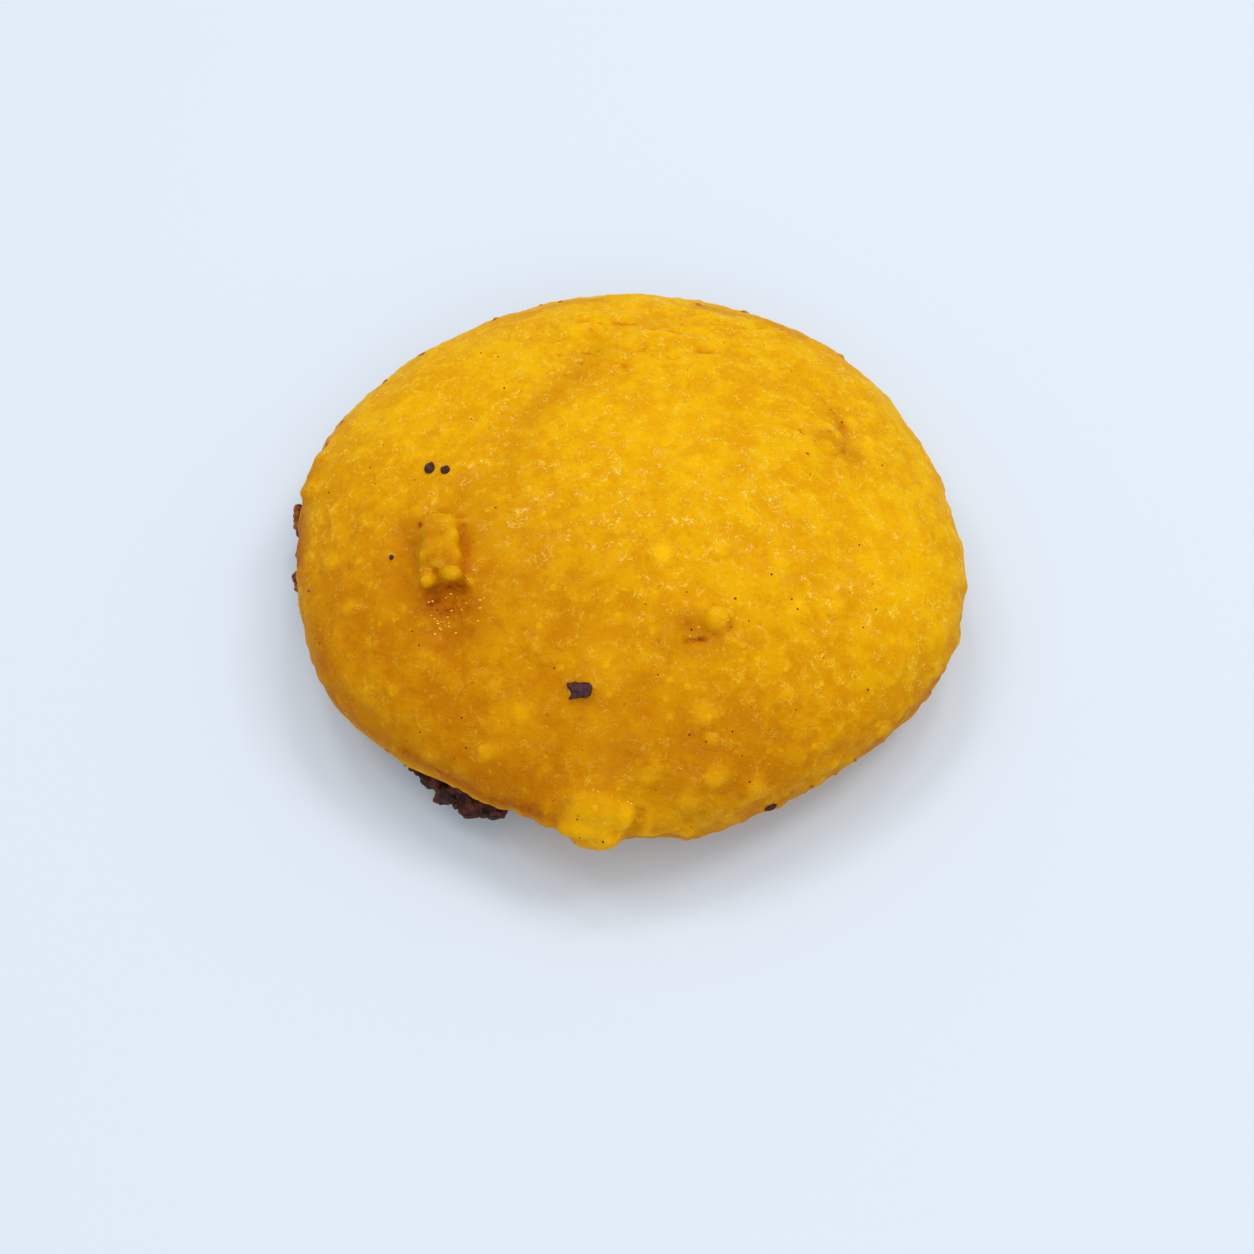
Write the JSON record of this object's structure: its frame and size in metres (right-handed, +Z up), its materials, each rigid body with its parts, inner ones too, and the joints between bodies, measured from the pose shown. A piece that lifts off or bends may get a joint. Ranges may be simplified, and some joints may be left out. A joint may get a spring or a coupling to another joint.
{
  "type": "arepa corn cake",
  "caption": "Puffed, oval fried corn cake with a smooth yellow crust, a knob of dough on top, a pinched nub at the front and a meat filling that shows in a burst seam under its left rim.",
  "frame": {"origin": "centre of the bounding box's base, on the surface that the cake rests on", "axes": "+X along the cake's longest extent, to the right in the picture; +Y away from the camera; +Z up, along the shortest extent"},
  "size_m": [0.137, 0.1296, 0.0388],
  "materials": {
    "fried_corn_crust": "fine-grained fried dough with a light film of oil",
    "browned_meat": "dark, moist and crumbly"
  },
  "bodies": {
    "root": {"corn_cake": "fried_corn_crust", "filling": "browned_meat"}
  },
  "joints": []
}
